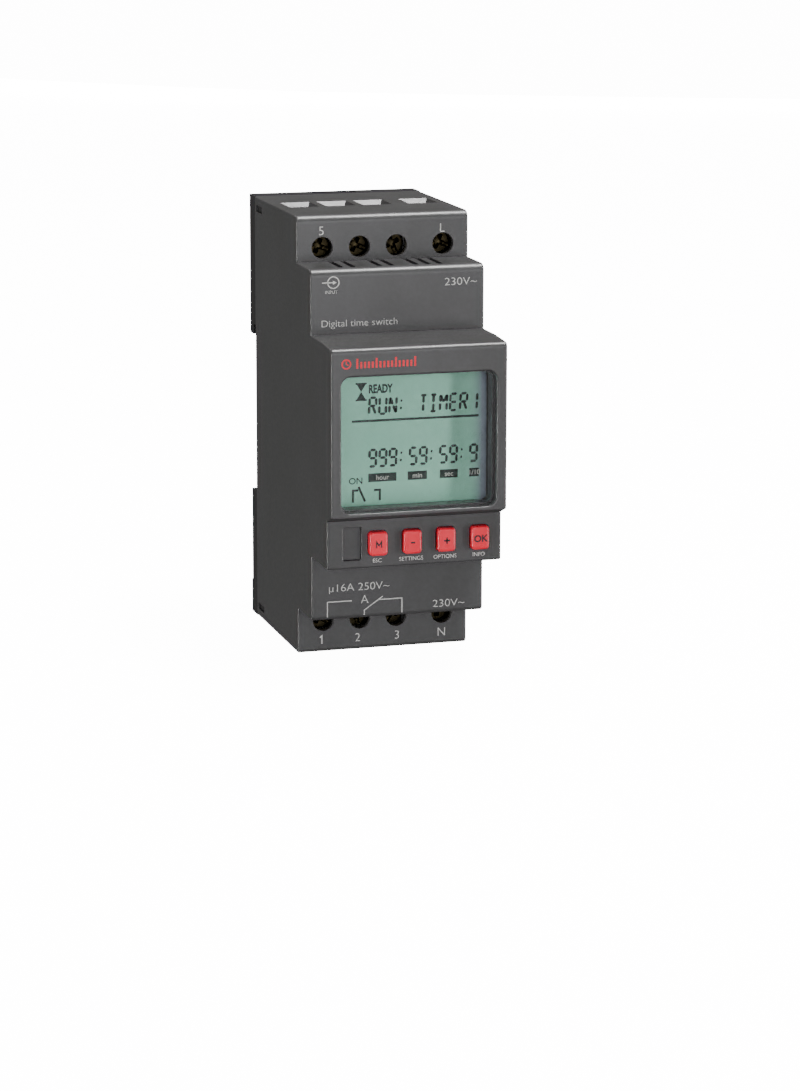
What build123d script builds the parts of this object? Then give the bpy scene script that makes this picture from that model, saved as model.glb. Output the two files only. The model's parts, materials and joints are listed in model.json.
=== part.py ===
"""DIN rail timer, two modules wide, as an assembly of separate pieces.

Millimetres. X runs across the front to the right, Y runs back towards the wall and Z runs up.
The origin is the middle of the flat seat that rests on the front of a 35 mm top-hat rail.
A distance "ahead" is measured forwards from that seat, so it is a negative Y.
"""

import os
from math import tan, radians

from build123d import *

os.makedirs("parts", exist_ok=True)

# ---------------------------------------------------------------- driving dimensions

width = 36.0  # two modules of 18 mm
height = 90.0
rear_depth = 5.0  # how far the legs reach behind the rail seat
terminal_face = 34.5  # ahead of the seat: the low steps that hold the terminals
label_face = 45.5  # ahead: the middle steps
nose_face = 61.0  # ahead: the raised middle that shows through a panel's cut-out
key_setback = 3.5  # the key panel lies this much behind the nose face

terminal_step = 9.4  # height of each terminal step
nose_height = 45.0  # the window height that every modular device shares
nose_crown = 7.6  # the front stretch of the nose's top, which falls away
nose_crown_fall = 0.45
lip_height = 33.9  # from the nose's top down to its lower front edge
lip_fall = 1.4  # height of the sloped underside below that edge

wall = 1.5
edge_radius = 1.6
nose_radius = 1.1
lower_radius = 0.8
side_radius = 0.4
fit = 0.2  # gap between neighbouring moulded pieces
slip = 0.15  # gap around a piece that slides

rail_height = 35.0
rail_lip = 1.0  # thickness of the rail's flange
hook_overlap = 1.9  # how far the fixed hook reaches over the flange

window_width = 31.8
window_height = 27.2
window_top = 6.0  # from the nose's top to the window's rim
window_radius = 2.0
window_depth = 2.0  # rim to the ledge that the lens rests on
ledge_depth = 3.0  # from that ledge back to the display glass
window_border = 0.4  # ledge that the lens rests on
lens_thickness = 1.2
glass_thickness = 1.1
board_thickness = 1.6

key_width = 3.7
key_height = 4.8
key_pitch = 7.0
key_radius = 0.9
key_proud = 1.4
key_travel = 0.4
key_play = 0.05  # between a key's stem and its switch at rest
key_count = 4
key_right = 4.7  # from the right side to the last key's middle

port_width = 3.7
port_height = 6.6
port_left = 5.2  # from the left side to the port's middle

terminal_pitch = 7.75
terminal_gap = 9.75  # the wider step before the last terminal
terminal_inset = 6.6  # from the top or bottom face to the screw's axis
driver_radius = 2.2  # screwdriver holes
head_recess = 3.5  # from the terminal face to the screw head
head_radius = 2.4
head_height = 2.0
shank_radius = 1.75  # M3.5
screw_length = 8.65  # under the head
thread_gap = 0.05
cage_width = 5.7
cage_length = 11.4
cage_height = 6.0
cage_side = 0.65
cage_end = 1.1
cage_front = 1.5
bar_width = 4.0
bar_thickness = 1.0
clamp_travel = 4.2
clamp_rest = 0.7  # left between the cage and its bar when closed

mouth_width = 6.2
mouth_depth = 8.0
throat_width = 4.6
throat_depth = 4.8

vent_width = 1.0
vent_pitch = 2.5
vent_groups = ((-11.1, 2), (-3.1, 2), (4.45, 3))  # first slot of a group, and slots in it

latch_width = 13.6
latch_flange = 1.6
latch_travel = 3.0

relay_height = 15.5
relay_breadth = 12.5
relay_skin = 0.7

# ---------------------------------------------------------------- worked out from them

half_width = width / 2
half_height = height / 2
inner_half = half_width - wall
label_half = half_height - terminal_step
nose_half = nose_height / 2
key_face = nose_face - key_setback
lip_z = nose_half - lip_height
hook_z = rail_height / 2 - hook_overlap
flange_z = rail_height / 2 + fit
leg_z = -rail_height / 2 - 0.5

window_z = nose_half - window_top - window_height / 2
ledge_front = nose_face - window_depth
ledge_back = ledge_front - ledge_depth
lens_front = ledge_front + lens_thickness
glass_front = ledge_back - 0.1
glass_back = glass_front - glass_thickness
rear_glass_back = glass_back - glass_thickness
board_front = glass_front - 6.3
board_back = board_front - board_thickness
board_half = nose_half - wall - 0.5

key_z = -nose_half + 5.0
key_panel_back = key_face - wall
key_x = [half_width - key_right - key_pitch * n for n in reversed(range(key_count))]
key_names = ("menu", "minus", "plus", "ok")
port_x = -half_width + port_left
posts = [(x, nose_half - wall - 1.6) for x in (-14.2, 14.2)]
posts += [((key_x[n] + key_x[n + 1]) / 2, key_z) for n in (0, 2)]

terminal_z = half_height - terminal_inset
first_terminal = -(2 * terminal_pitch + terminal_gap) / 2
terminal_x = [
    first_terminal,
    first_terminal + terminal_pitch,
    first_terminal + 2 * terminal_pitch,
    first_terminal + 2 * terminal_pitch + terminal_gap,
]
terminal_names = {
    1: ("5", "a", "b", "l"),
    -1: ("1", "2", "3", "n"),
}
head_front = terminal_face - head_recess
head_back = head_front - head_height
screw_tip = head_back - screw_length
bar_front = screw_tip - 0.15
bar_back = bar_front - bar_thickness
cage_back = bar_back - clamp_rest - clamp_travel - cage_end
cage_open_front = cage_back + cage_length
wire_ahead = bar_back - 0.2 - throat_depth / 2
bar_root = terminal_z - 7.4  # where the bar bends back towards the power board
pocket_width = cage_width + 2 * slip
pocket_height = cage_height + 2 * slip

base_thickness = 2.4
power_back = base_thickness + 2.6
power_front = power_back + board_thickness
power_half_width = inner_half - 1.5
carrier_back = power_front + slip
carrier_front = head_back - 0.8
carrier_inner = bar_root + 1.8

latch_front = rail_lip + 0.15  # measured behind the seat
latch_back = rear_depth - 0.3
latch_half = latch_width / 2
latch_top = -rail_height / 2 + 1.3
latch_bottom = -half_height + 0.5 + latch_travel
latch_stop = leg_z - 1.5
spring_x_half = 1.5
spring_top = latch_stop - 9.6
spring_foot = spring_top - 7.5
post_height = 2.0
window_foot = spring_foot - post_height - fit

relay_half_length = inner_half - 2.25
relay_low = -bar_root + 1.0
relay_high = relay_low + relay_breadth
relay_front = power_front + 0.1 + relay_height
link_z = nose_half - 3.5
link_pitch = 2.54
link_count = 8
link_x = [link_pitch * (n - (link_count - 1) / 2) for n in range(link_count)]


# ---------------------------------------------------------------- small helpers


def around(centre, size):
    """The two limits of a size about a centre."""
    return (centre - size / 2, centre + size / 2)


def sided(side, low, high):
    """Limits up from the middle for the upper row (1), or mirrored below it (-1)."""
    return (low, high) if side > 0 else (-high, -low)


def block(x, ahead, z, mode=Mode.ADD):
    """A rectangular block between limits across, ahead of the seat, and up."""
    middle = (sum(x) / 2, -sum(ahead) / 2, sum(z) / 2)
    with Locations(middle):
        Box(x[1] - x[0], ahead[1] - ahead[0], z[1] - z[0], mode=mode)


def rod(x, z, ahead, radius, mode=Mode.ADD):
    """A round rod that runs front to back between two distances ahead of the seat."""
    with Locations(Location((x, -sum(ahead) / 2, z), (90, 0, 0))):
        Cylinder(radius, ahead[1] - ahead[0], mode=mode)


def facing(ahead):
    """A plane that faces forwards, with X across and Z up."""
    return Plane(origin=(0, -ahead, 0), x_dir=(1, 0, 0), z_dir=(0, -1, 0))


def write(piece, name):
    """Labels a finished piece and writes its STEP file."""
    piece.part.label = name
    export_step(piece.part, f"parts/{name}.step")


def stepped_profile(rear):
    """The side outline of the case, from its rear edge round the steps, as (Y, Z) points."""
    crown_start = nose_face - nose_crown
    crown_z = nose_half - nose_crown_fall
    return [
        (-rear, half_height),
        (-terminal_face, half_height),
        (-terminal_face, label_half),
        (-label_face, label_half),
        (-label_face, nose_half),
        (-crown_start, nose_half),
        (-nose_face, crown_z),
        (-nose_face, lip_z),
        (-key_face, lip_z - lip_fall),
        (-key_face, -nose_half),
        (-label_face, -nose_half),
        (-label_face, -label_half),
        (-terminal_face, -label_half),
        (-terminal_face, -half_height),
        (-rear, -half_height),
    ]


# ---------------------------------------------------------------- front housing

rounded_corners = [
    (terminal_face, half_height, edge_radius),
    (label_face, label_half, edge_radius),
    (nose_face, nose_half - nose_crown_fall, nose_radius),
    (label_face, -label_half, lower_radius),
    (terminal_face, -half_height, lower_radius),
    (key_face, -nose_half, lower_radius / 2),
]

with BuildPart() as front_housing:
    with BuildSketch(Plane.YZ) as outline:
        with BuildLine():
            Polyline(*stepped_profile(0), close=True)
        make_face()
        for ahead, z, radius in rounded_corners:
            corner = outline.vertices().sort_by_distance((-ahead, z, 0))[0]
            fillet(corner, radius)
    extrude(amount=half_width, both=True)
    flanks = front_housing.faces().filter_by(Axis.X)
    rear_line = [e for e in flanks.edges() if abs(e.center().Y) < 0.01]
    fillet([e for e in flanks.edges() if e not in rear_line], side_radius)
    with BuildSketch(Plane.YZ):
        with BuildLine():
            Polyline(*stepped_profile(-wall - 1), close=True)
        make_face()
        offset(amount=-wall, kind=Kind.INTERSECTION)
    extrude(amount=inner_half, both=True, mode=Mode.SUBTRACT)

    # thickened surround of the display window, with its rim and ledge
    surround = (window_z - window_height / 2 - 0.4, window_z + window_height / 2 + 1.2)
    block((-inner_half, inner_half), (ledge_back, nose_face - wall), surround)
    with BuildSketch(facing(nose_face)):
        with Locations((0, window_z)):
            RectangleRounded(window_width, window_height, window_radius)
    extrude(amount=-window_depth, mode=Mode.SUBTRACT)
    with BuildSketch(facing(nose_face)):
        with Locations((0, window_z)):
            RectangleRounded(
                window_width - 2 * window_border,
                window_height - 2 * window_border,
                window_radius - window_border,
            )
    extrude(amount=-(nose_face - ledge_back + 1), mode=Mode.SUBTRACT)
    nose_front = front_housing.faces().sort_by(Axis.Y)[0]
    fillet(nose_front.inner_wires()[0].edges(), 0.35)

    # key holes and the port opening in the key panel
    with BuildSketch(facing(key_face)):
        with Locations(*[(x, key_z) for x in key_x]):
            RectangleRounded(key_width + 2 * slip, key_height + 2 * slip, key_radius)
        with Locations((port_x, key_z)):
            RectangleRounded(port_width, port_height, 0.3)
    extrude(amount=-(wall + 0.5), mode=Mode.SUBTRACT)
    panel_edges = front_housing.edges().filter_by_position(Axis.Y, -key_face - 0.01, 0.01 - key_face)
    near_port = [e for e in panel_edges if abs(e.center().X - port_x) < port_width / 2 + 0.01]
    fillet([e for e in near_port if abs(e.center().Z - key_z) < port_height / 2 + 0.01], 0.2)

    # screwdriver holes over the terminal screws
    with BuildSketch(facing(terminal_face)):
        with Locations(*[(x, side * terminal_z) for x in terminal_x for side in (1, -1)]):
            Circle(driver_radius)
    extrude(amount=-(wall + 0.5), mode=Mode.SUBTRACT)

    # funnelled wire entries in the top and bottom faces
    for side in (1, -1):
        for x in terminal_x:
            with BuildSketch(Plane.XY.offset(side * half_height)):
                with Locations((x, -wire_ahead)):
                    Rectangle(mouth_width, mouth_depth)
            with BuildSketch(Plane.XY.offset(side * (half_height - wall))):
                with Locations((x, -wire_ahead)):
                    Rectangle(throat_width, throat_depth)
            loft(mode=Mode.SUBTRACT)

    # cooling slots in the ledges between the terminal steps and the middle steps
    for first, count in vent_groups:
        for n in range(count):
            for side in (1, -1):
                block(
                    around(first + n * vent_pitch, vent_width),
                    (terminal_face + 0.2, label_face - edge_radius - 0.4),
                    sided(side, label_half - wall - 0.5, label_half + 0.5),
                    mode=Mode.SUBTRACT,
                )

    # windows in the flanks for the rear base's snap lugs
    snap_z = half_height - wall - 0.85
    for side in (1, -1):
        block(
            (-half_width - 1, half_width + 1),
            (1.0, 6.0),
            around(side * snap_z, 1.4),
            mode=Mode.SUBTRACT,
        )

    # posts that carry the display board; their pins are staked behind it
    for x, z in posts:
        front = nose_face - wall if z > 0 else key_panel_back
        rod(x, z, (board_front, front + 0.2), 0.9)
        rod(x, z, (board_back - 0.6, board_front), 0.6)
write(front_housing, "front_housing")

# ---------------------------------------------------------------- rear base

with BuildPart() as rear_base:
    block(
        around(0, 2 * (inner_half - fit)),
        (0, base_thickness),
        around(0, 2 * (half_height - wall - fit)),
    )
    block((-half_width, half_width), (-rear_depth, 0), (hook_z, half_height))
    block((-half_width, half_width), (-rear_depth, 0), (-half_height, leg_z))
    upright = rear_base.edges().filter_by(Axis.Z).group_by(Axis.Y)[-1]
    fillet(upright, side_radius)

    # the hook's groove over the rail's upper flange, and relief beside the seat
    groove = rail_lip + 0.8
    block((-half_width, half_width), (-groove, 0), (hook_z - 1, flange_z), Mode.SUBTRACT)
    block((-half_width, half_width), (-1, fit), (hook_z - 0.2, flange_z), Mode.SUBTRACT)
    block((-half_width, half_width), (-1, fit), (leg_z, latch_top + 0.4), Mode.SUBTRACT)

    # the lower leg is thinner above the catch's finger grip
    block((-half_width, half_width), (-rear_depth - 1, 1 - rear_depth), (-38.1, leg_z), Mode.SUBTRACT)

    # T-shaped channel for the rail latch, closed at its upper end by a stop
    flange_half = latch_half + latch_flange + slip
    channel_front = latch_front - slip
    flange_back = latch_front + 1.6 + slip
    block(
        around(0, latch_width + 2 * slip),
        (-rear_depth - 1, -channel_front),
        (-half_height - 1, leg_z + 1),
        Mode.SUBTRACT,
    )
    block(
        (-flange_half, flange_half),
        (-flange_back, -channel_front),
        (-half_height - 1, latch_stop),
        Mode.SUBTRACT,
    )
    # the post that the latch spring stands on
    block(around(0, 2.4), (-4.0, -channel_front + 0.2), (spring_foot - post_height, spring_foot))

    # hollows that keep the legs' walls even, open to the inside
    for side_x in (1, -1):
        for near, z, back in (
            (6.3, (flange_z + wall, half_height - 2.2), rear_depth - wall),
            (flange_half + wall, (1.8 - half_height, leg_z - wall), rear_depth - 1 - wall),
        ):
            across = sorted((side_x * near, side_x * (half_width - 2.0)))
            block(across, (-back, base_thickness + 1), z, Mode.SUBTRACT)

    # four posts that the power board stands on
    for x in (-13.4, 13.4):
        for z in (-20.0, 20.0):
            rod(x, z, (base_thickness - 0.5, power_back), 1.1)

    # pocket in the top edge
    block((-5.0, 4.6), (-4.4, -2.2), (half_height - 6, half_height + 1), Mode.SUBTRACT)

    # snap lugs that click into the front housing
    for side_x in (1, -1):
        for side in (1, -1):
            root = inner_half - fit - 1.0
            arm = sorted((side_x * root, side_x * (inner_half - fit)))
            block(arm, (0, 6.0), around(side * snap_z, 1.1))
            lug = sorted((side_x * root, side_x * (half_width - 0.35)))
            block(lug, (1.5, 5.3), around(side * snap_z, 1.1))
write(rear_base, "rear_base")

# ---------------------------------------------------------------- rail latch and its spring

with BuildPart() as rail_latch:
    block(
        around(0, latch_width),
        (-latch_back, -latch_front),
        (latch_bottom, latch_top),
    )
    block(
        around(0, latch_width + 2 * latch_flange),
        (-latch_front - 1.6, -latch_front),
        (latch_bottom + 1.0, latch_stop - 0.1),
    )
    lead_in = rail_latch.edges().filter_by(Axis.X).group_by(Axis.Z)[-1].sort_by(Axis.Y)[-1]
    chamfer(lead_in, 1.2)
    block(
        around(0, 2 * spring_x_half),
        (-latch_back - 1, -latch_front + 1),
        (window_foot, spring_top),
        Mode.SUBTRACT,
    )
    block(around(0, 5.0), (-latch_back - 1, -3.2), (latch_bottom - 1, latch_bottom + 1.8), Mode.SUBTRACT)
    for n in range(3):
        block(
            around(0, latch_width - 3),
            (-latch_back - 1, -latch_back + 0.4),
            around(latch_stop - 2.2 - 2 * n, 0.9),
            Mode.SUBTRACT,
        )
write(rail_latch, "rail_latch")

spring_wire = 0.35
spring_radius = 1.0
with BuildPart() as latch_spring:
    with BuildLine() as coil:
        Helix(
            pitch=1.15,
            height=spring_top - spring_foot - spring_wire - 0.1,
            radius=spring_radius,
            center=(0, 2.75, spring_foot + spring_wire / 2 + 0.05),
        )
    with BuildSketch(Plane(origin=coil.line @ 0, z_dir=coil.line % 0)):
        Circle(spring_wire / 2)
    sweep()
write(latch_spring, "latch_spring")

# ---------------------------------------------------------------- display window and port cover

with BuildPart() as display_window:
    with BuildSketch(facing(ledge_front)):
        with Locations((0, window_z)):
            RectangleRounded(
                window_width - slip, window_height - slip, window_radius - slip / 2
            )
    extrude(amount=lens_thickness)
    chamfer(display_window.faces().sort_by(Axis.Y)[0].edges(), 0.15)
write(display_window, "display_window")

with BuildPart() as port_cover:
    with BuildSketch(facing(key_panel_back)):
        with Locations((port_x, key_z)):
            RectangleRounded(port_width - slip, port_height - slip, 0.25)
    extrude(amount=wall - 0.6)
    block(
        around(port_x, port_width + 1.2),
        (key_panel_back - 0.9, key_panel_back),
        around(key_z, port_height - 2.0),
    )
write(port_cover, "port_cover")

# ---------------------------------------------------------------- keys and their switches

switch_size = 4.5
switch_top = board_front + 1.6
plunger_tip = board_front + 2.6
for x, name in zip(key_x, key_names):
    with BuildPart() as button:
        with BuildSketch(facing(key_panel_back - 0.2)):
            with Locations((x, key_z)):
                RectangleRounded(key_width, key_height, key_radius - slip)
        extrude(amount=wall + 0.2 + key_proud)
        fillet(button.faces().sort_by(Axis.Y)[0].edges(), 0.5)
        block(
            around(x, key_width + 1.2),
            (key_panel_back - 1.0, key_panel_back - 0.2),
            around(key_z, key_height + 1.2),
        )
        rod(x, key_z, (plunger_tip + key_play, key_panel_back - 0.5), 1.1)
    write(button, f"button_{name}")

    with BuildPart() as plunger:
        rod(x, key_z, (board_front + 0.9, plunger_tip), 1.15)
        rod(x, key_z, (board_front + key_travel + 0.1, board_front + 1.0), 1.45)
    write(plunger, f"switch_plunger_{name}")

with BuildPart() as key_switch_bodies:
    for x in key_x:
        block(
            around(x, switch_size),
            (board_front, switch_top),
            around(key_z, switch_size),
        )
        rod(x, key_z, (board_front, switch_top - 0.4), 1.6, Mode.SUBTRACT)
        rod(x, key_z, (board_front, switch_top), 1.3, Mode.SUBTRACT)
write(key_switch_bodies, "key_switch_bodies")

# ---------------------------------------------------------------- display stack

glass_half = inner_half - 0.9
glass_low = window_z - window_height / 2 - 1.3
glass_high = window_z + window_height / 2 + 1.2
glass_ledge = 1.5  # the front glass overhangs the rear one above and below

with BuildPart() as lcd_front_glass:
    block((-glass_half, glass_half), (glass_back, glass_front), (glass_low, glass_high))
write(lcd_front_glass, "lcd_front_glass")

with BuildPart() as lcd_rear_glass:
    block(
        (-glass_half, glass_half),
        (rear_glass_back, glass_back),
        (glass_low + glass_ledge, glass_high - glass_ledge),
    )
write(lcd_rear_glass, "lcd_rear_glass")

with BuildPart() as lcd_reflector:
    block(
        (0.3 - glass_half, glass_half - 0.3),
        (rear_glass_back - 0.25, rear_glass_back),
        (glass_low + glass_ledge + 0.3, glass_high - glass_ledge - 0.3),
    )
write(lcd_reflector, "lcd_reflector")

holder_front = rear_glass_back + 0.5
with BuildPart() as lcd_holder:
    block(
        around(0, 2 * (inner_half - 0.4)),
        (board_front, holder_front),
        (glass_low - 1.2, glass_high + 0.6),
    )
    block(
        (-glass_half - 0.1, glass_half + 0.1),
        (board_front - 1, holder_front + 1),
        (glass_low - 0.1, glass_high + 0.1),
        Mode.SUBTRACT,
    )
    for x in (-11.4, 11.4):
        block(
            around(x, 3.0),
            (board_front, rear_glass_back - 0.35),
            (glass_low - 0.3, glass_high + 0.3),
        )
    for low, high in (
        (glass_low - 0.3, glass_low + glass_ledge + 0.2),
        (glass_high - glass_ledge - 0.2, glass_high + 0.3),
    ):
        block((-9.7, 9.7), (board_front - 1, holder_front + 1), (low, high), Mode.SUBTRACT)
write(lcd_holder, "lcd_holder")

with BuildPart() as contact_strips:
    for z in (glass_low + 0.75, glass_high - 0.75):
        block(around(0, 19.0), (board_front, glass_back), around(z, 1.0))
write(contact_strips, "contact_strips")

with BuildPart() as display_board:
    block(
        around(0, 2 * (inner_half - 0.5)),
        (board_back, board_front),
        around(0, 2 * board_half),
    )
    for x, z in posts:
        rod(x, z, (board_back - 1, board_front + 1), 0.65, Mode.SUBTRACT)
    for x in link_x:
        rod(x, link_z, (board_back - 1, board_front + 1), 0.5, Mode.SUBTRACT)
write(display_board, "display_board")

# ---------------------------------------------------------------- parts behind the display board

chip_size = 7.0
chip_x = -8.5
chip_z = link_z - 3.0 - chip_size / 2
chip_leads = 8
with BuildPart() as microcontroller:
    block(
        around(chip_x, chip_size),
        (board_back - 1.5, board_back - 0.1),
        around(chip_z, chip_size),
    )
    for n in range(chip_leads):
        along = (n - (chip_leads - 1) / 2) * 0.8
        for x, z in ((0, along), (along, 0)):
            lead = (0.35 if x or not z else chip_size + 1.8, 0.35 if z else chip_size + 1.8)
            block(around(chip_x + x, lead[0]), (board_back - 0.35, board_back), around(chip_z + z, lead[1]))
write(microcontroller, "microcontroller")

crystal_x = 9.0
with BuildPart() as quartz_crystal:
    with BuildSketch(facing(board_back - 3.4)):
        with Locations((crystal_x, chip_z)):
            SlotOverall(10.2, 3.7)
    extrude(amount=3.0)
    with BuildSketch(facing(board_back - 0.5)):
        with Locations((crystal_x, chip_z)):
            SlotOverall(11.0, 4.5)
    extrude(amount=0.5)
write(quartz_crystal, "quartz_crystal")

cell_radius = 10.0
cell_z = chip_z - chip_size / 2 - 1.2 - cell_radius
cell_back = board_back - 4.6
with BuildPart() as backup_cell:
    rod(0, cell_z, (cell_back, cell_back + 2.9), cell_radius)
    rim = backup_cell.edges().filter_by(GeomType.CIRCLE).sort_by(Axis.Y)[-1]
    fillet(rim, 0.5)
    rod(0, cell_z, (cell_back + 2.9, cell_back + 3.2), cell_radius - 1.6)
write(backup_cell, "backup_cell")

with BuildPart() as cell_clips:
    block(around(0, 4.0), (cell_back - 0.2, cell_back), (cell_z - 2, cell_z + cell_radius + 0.6))
    block(
        around(0, 4.0),
        (cell_back - 0.2, board_back),
        (cell_z + cell_radius + 0.4, cell_z + cell_radius + 0.6),
    )
    block(
        around(0, 4.0),
        (cell_back + 3.2, cell_back + 3.4),
        (cell_z - cell_radius - 0.6, cell_z + 2),
    )
    block(
        around(0, 4.0),
        (cell_back + 3.2, board_back),
        (cell_z - cell_radius - 0.6, cell_z - cell_radius - 0.4),
    )
write(cell_clips, "cell_clips")

# ---------------------------------------------------------------- parts on the power board

pin_half = 0.32
with BuildPart() as board_link_pins:
    for x in link_x:
        block(
            around(x, 2 * pin_half),
            (power_back - 1.2, board_front + 0.8),
            around(link_z, 2 * pin_half),
        )
write(board_link_pins, "board_link_pins")

with BuildPart() as board_link_spacer:
    for low, high in (
        (power_front, power_front + 2.5),
        (board_back - 2.5, board_back),
    ):
        block(around(0, link_count * link_pitch), (low, high), around(link_z, 2.4))
    for x in link_x:
        block(
            around(x, 2 * pin_half),
            (power_front - 1, board_back + 1),
            around(link_z, 2 * pin_half),
            Mode.SUBTRACT,
        )
write(board_link_spacer, "board_link_spacers")

band = relay_high + 1.0
capacitor_breadth = 11.0
with BuildPart() as mains_capacitor:
    block(
        (-power_half_width + 0.5, 3.0),
        (power_front + 0.3, power_front + 15.3),
        (band, band + capacitor_breadth),
    )
    fillet(mains_capacitor.edges().filter_by(Axis.Y), 0.6)
write(mains_capacitor, "mains_capacitor")

with BuildPart() as smoothing_capacitor:
    rod(9.4, band + 5.0, (power_front + 0.3, power_front + 12.5), 4.0)
    for edge in smoothing_capacitor.edges().filter_by(GeomType.CIRCLE):
        fillet(edge, 0.4)
    block(around(9.4, 4.6), (power_front + 12.2, power_front + 13), around(band + 5.0, 0.3), Mode.SUBTRACT)
    block(around(9.4, 0.3), (power_front + 12.2, power_front + 13), around(band + 5.0, 4.6), Mode.SUBTRACT)
write(smoothing_capacitor, "smoothing_capacitor")

row = band + capacitor_breadth + 3.2
with BuildPart() as varistor:
    with Locations((9.4, -(power_front + 6.6), row)):
        Cylinder(4.6, 3.6)
    fillet(varistor.edges().filter_by(GeomType.CIRCLE), 0.9)
    for x in (-2.5, 2.5):
        rod(9.4 + x, row, (power_back - 1, power_front + 4.0), 0.35)
write(varistor, "varistor")

with BuildPart() as fuse_resistor:
    with Locations(Location((-7.5, -(power_front + 2.6), row), (0, 90, 0))):
        Cylinder(1.7, 9.0)
    fillet(fuse_resistor.edges().filter_by(GeomType.CIRCLE), 0.5)
    block(around(-7.5, 13.0), around(power_front + 2.6, 0.6), around(row, 0.6))
    for x in (-6.2, 6.2):
        block(around(-7.5 + x, 0.6), (power_back - 1, power_front + 2.9), around(row, 0.6))
write(fuse_resistor, "fuse_resistor")

diode_z = row + 5.6
with BuildPart() as rectifier_diodes:
    for x in (-11.0, -7.0, -3.0, 1.0):
        with Locations((x, -(power_front + 1.8), diode_z)):
            Cylinder(1.3, 4.4)
        block(around(x, 0.7), around(power_front + 1.8, 0.7), around(diode_z, 7.0))
        for z in (-3.2, 3.2):
            block(around(x, 0.6), (power_back - 1, power_front + 2.1), around(diode_z + z, 0.6))
write(rectifier_diodes, "rectifier_diodes")

# ---------------------------------------------------------------- relay

relay_root = power_front + 0.1
relay_z = (relay_low + relay_high) / 2
relay_x = (-relay_half_length, relay_half_length)
relay_floor = relay_root + 1.2
coil_axis = relay_floor + 6.6
coil_left = -relay_half_length + 9.4
coil_right = relay_half_length - 3.4
pivot_ahead = relay_floor + 12.0
armature_x = coil_left - 1.9
blade_x = armature_x - 1.0
contact_ahead = relay_floor + 2.2
contact_slots = (blade_x - 1.05, blade_x + 2.35)

with BuildPart() as relay_base:
    block(
        (relay_x[0] + relay_skin + 0.05, relay_x[1] - relay_skin - 0.05),
        (relay_root, relay_floor),
        around(relay_z, relay_breadth - 2 * relay_skin - 0.1),
    )
    for x in contact_slots:
        block(around(x, 0.6), (relay_root - 1, relay_floor + 1), around(relay_z, 3.3), Mode.SUBTRACT)
write(relay_base, "relay_base")

with BuildPart() as relay_cover:
    block(relay_x, (relay_root, relay_front), (relay_low, relay_high))
    block(
        (relay_x[0] + relay_skin, relay_x[1] - relay_skin),
        (relay_root - 1, relay_front - relay_skin),
        (relay_low + relay_skin, relay_high - relay_skin),
        Mode.SUBTRACT,
    )
    fillet(relay_cover.faces().sort_by(Axis.Y)[0].edges(), 0.4)
write(relay_cover, "relay_cover")


def along_coil(left, right, radius, mode=Mode.ADD):
    """A round piece about the coil's axis, between two places across the relay."""
    with Locations(Location(((left + right) / 2, -coil_axis, relay_z), (0, 90, 0))):
        Cylinder(radius, right - left, mode=mode)


with BuildPart() as relay_coil:
    along_coil(coil_left, coil_right, 4.0)
    along_coil(coil_left, coil_left + 0.8, 4.7)
    along_coil(coil_right - 0.8, coil_right, 4.7)
    along_coil(coil_left - 1, coil_right + 1, 1.85, Mode.SUBTRACT)
write(relay_coil, "relay_coil")

with BuildPart() as relay_yoke:
    along_coil(coil_left - 0.5, coil_right + 0.7, 1.75)
    along_coil(coil_left - 0.9, coil_left - 0.1, 3.0)
    block(
        (coil_right + 0.1, coil_right + 1.3),
        (relay_floor, pivot_ahead + 0.6),
        around(relay_z, 8.0),
    )
    block(
        (coil_left - 0.9, coil_right + 1.3),
        (pivot_ahead - 0.6, pivot_ahead + 0.6),
        around(relay_z, 8.0),
    )
write(relay_yoke, "relay_yoke")

with BuildPart() as relay_armature:
    block(
        around(armature_x, 1.0),
        (coil_axis - 3.0, pivot_ahead + 0.6),
        around(relay_z, 7.6),
    )
write(relay_armature, "relay_armature")

with BuildPart() as relay_moving_contact:
    block(around(blade_x + 0.35, 0.3), (contact_ahead - 1.2, pivot_ahead - 1.5), around(relay_z, 4.2))
    with Locations(Location((blade_x + 0.35, -contact_ahead, relay_z), (0, 90, 0))):
        Cylinder(1.1, 1.1)
write(relay_moving_contact, "relay_moving_contact")

with BuildPart() as relay_fixed_contacts:
    for x, rivet in zip(contact_slots, (0.35, -0.35)):
        block(around(x, 0.5), (power_back - 1, contact_ahead + 1.1), around(relay_z, 3.2))
        with Locations(Location((x + rivet, -contact_ahead, relay_z), (0, 90, 0))):
            Cylinder(1.1, 0.8)
write(relay_fixed_contacts, "relay_fixed_contacts")

# ---------------------------------------------------------------- power board

lead_holes = [(9.4 + x, row) for x in (-2.5, 2.5)]
lead_holes += [(-7.5 + x, row) for x in (-6.2, 6.2)]
lead_holes += [(x, diode_z + z) for x in (-11.0, -7.0, -3.0, 1.0) for z in (-3.2, 3.2)]
lead_holes += [(x, link_z) for x in link_x]

with BuildPart() as power_board:
    block(
        (-power_half_width, power_half_width),
        (power_back, power_front),
        around(0, 2 * (half_height - wall - 0.6)),
    )
    for x, z in lead_holes:
        rod(x, z, (power_back - 1, power_front + 1), 0.5, Mode.SUBTRACT)
    for side in (1, -1):
        for x in terminal_x:
            block(
                around(x, bar_width + slip),
                (power_back - 1, power_front + 1),
                around(side * (bar_root + bar_thickness / 2), bar_thickness + slip),
                Mode.SUBTRACT,
            )
    for x in contact_slots:
        block(around(x, 0.6), (power_back - 1, power_front + 1), around(relay_z, 3.3), Mode.SUBTRACT)
write(power_board, "power_board")

# ---------------------------------------------------------------- terminals

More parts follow.
